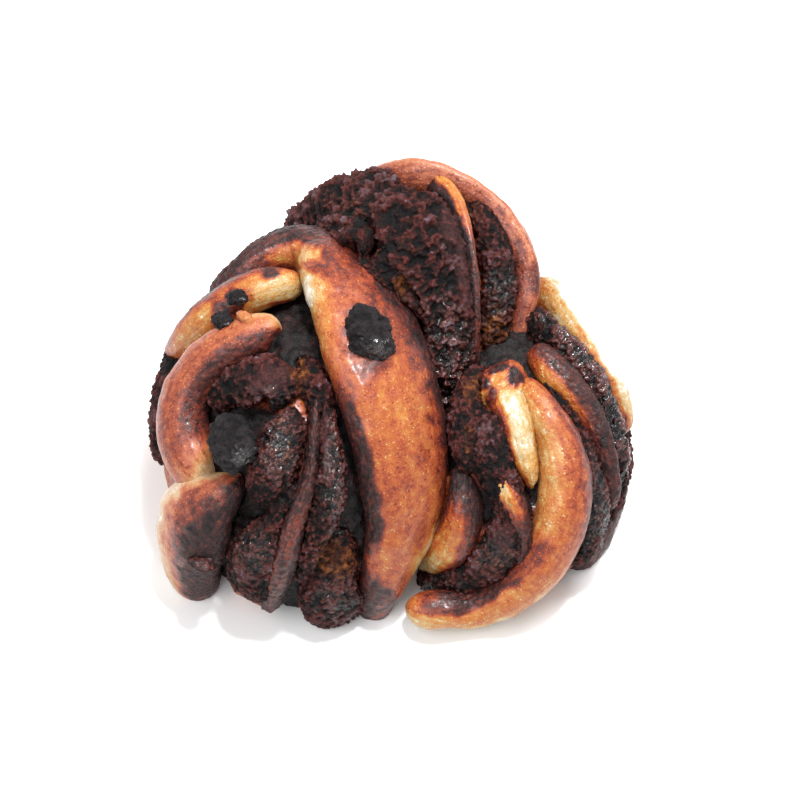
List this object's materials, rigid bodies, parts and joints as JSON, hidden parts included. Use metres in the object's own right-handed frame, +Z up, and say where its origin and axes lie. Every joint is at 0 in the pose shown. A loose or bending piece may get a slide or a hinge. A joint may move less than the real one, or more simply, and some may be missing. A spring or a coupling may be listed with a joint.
{
  "type": "chocolate babka bun",
  "caption": "Knotted babka bun of browned dough bands with dark crumbly chocolate filling in the grooves and charred chocolate lumps on top.",
  "frame": {"origin": "on the flat base, under the middle of the bun", "axes": "+Z up out of the bun's top; -Y towards the viewer of the picture, whose left is -X"},
  "size_m": [0.1144, 0.1153, 0.0578],
  "materials": {
    "browned_crust": "browned crust with a light egg-wash gloss",
    "chocolate_filling": "dark crumbly chocolate, glossy on the grains",
    "charred_chocolate": "charred chocolate, dull with small glints"
  },
  "bodies": {
    "root": {"dough": "browned_crust", "filling_crown": "chocolate_filling", "filling_crown_groove": "chocolate_filling", "filling_curl": "chocolate_filling", "filling_fan_left": "chocolate_filling", "filling_fan_right": "chocolate_filling", "filling_right_stripe": "chocolate_filling", "filling_right_flank": "chocolate_filling", "filling_heart": "chocolate_filling", "filling_back_left": "chocolate_filling", "filling_back_middle": "chocolate_filling", "filling_back_right": "chocolate_filling", "filling_left_side": "chocolate_filling", "filling_right_side": "chocolate_filling", "chocolate_lump_band": "charred_chocolate", "chocolate_lump_curl": "charred_chocolate", "chocolate_bit_upper": "charred_chocolate", "chocolate_bit_lower": "charred_chocolate"}
  },
  "joints": []
}
